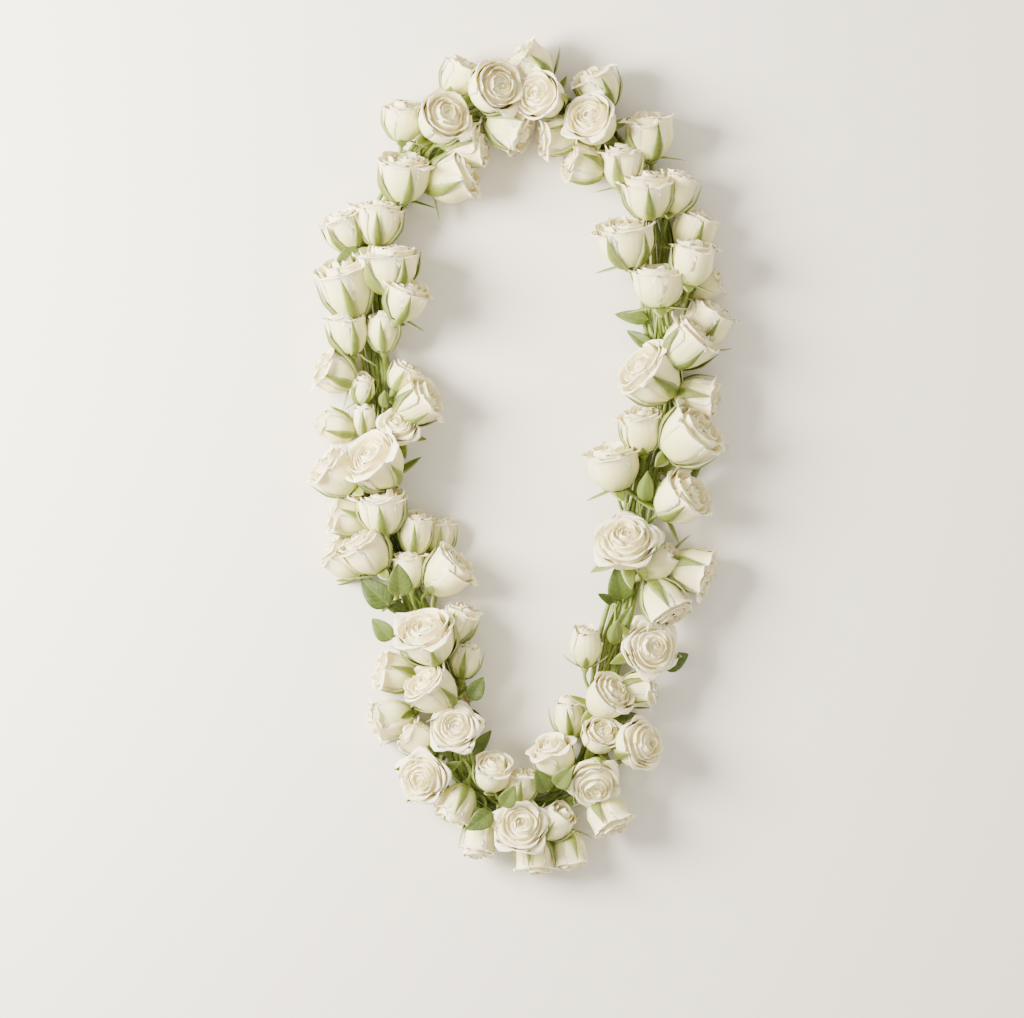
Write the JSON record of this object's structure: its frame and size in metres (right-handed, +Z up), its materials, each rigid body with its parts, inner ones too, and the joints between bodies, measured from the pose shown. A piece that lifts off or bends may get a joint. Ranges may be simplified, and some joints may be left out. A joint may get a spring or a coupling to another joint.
{
  "type": "flower lei",
  "caption": "Closed garland of white spray roses on short green stems, bound round a cord with twine, lying flat as a long oval loop to wear round the neck.",
  "frame": {"origin": "middle of the loop, on the surface that it lies on", "axes": "+Z up from the surface; +Y towards the neck end, -Y towards the chest end; +X to the right seen from above"},
  "size_m": [0.2601, 0.5062, 0.0526],
  "materials": {
    "petals": "soft matt creamy white petals, warm yellow-green in the depths",
    "greens": "fresh green stems, hips, sepals and leaves with a faint waxy sheen",
    "twine": "natural twisted twine, matt",
    "cord": "natural braided cord, matt"
  },
  "bodies": {
    "root": {"backing_cord": "cord", "rose_spray_01": "petals", "rose_spray_02": "petals", "rose_spray_03": "petals", "rose_spray_04": "petals", "rose_spray_05": "petals", "rose_spray_06": "petals", "rose_spray_07": "petals", "rose_spray_08": "petals", "rose_spray_09": "petals", "rose_spray_10": "petals", "rose_spray_11": "petals", "rose_spray_12": "petals", "rose_spray_13": "petals", "rose_spray_14": "petals", "rose_spray_15": "petals", "rose_spray_16": "petals", "rose_spray_17": "petals", "rose_spray_18": "petals", "rose_spray_19": "petals", "rose_spray_20": "petals", "rose_spray_21": "petals", "rose_spray_22": "petals", "rose_spray_23": "petals", "rose_spray_24": "petals", "rose_spray_25": "petals", "rose_spray_26": "petals", "rose_spray_27": "petals", "rose_spray_28": "petals", "rose_spray_29": "petals", "rose_spray_30": "petals", "rose_spray_31": "petals", "rose_spray_32": "petals", "rose_spray_33": "petals", "rose_spray_34": "petals", "rose_spray_35": "petals", "rose_spray_36": "petals", "rose_spray_37": "petals", "rose_spray_38": "petals", "rose_spray_39": "petals", "rose_spray_40": "petals", "rose_spray_41": "petals", "rose_spray_42": "petals", "rose_spray_43": "petals", "rose_spray_44": "petals", "stem_bunch_01": "greens", "stem_bunch_02": "greens", "stem_bunch_03": "greens", "stem_bunch_04": "greens", "stem_bunch_05": "greens", "stem_bunch_06": "greens", "twine_tie_01": "twine", "twine_tie_02": "twine", "twine_tie_03": "twine", "twine_tie_04": "twine", "twine_tie_05": "twine", "twine_tie_06": "twine"}
  },
  "joints": []
}
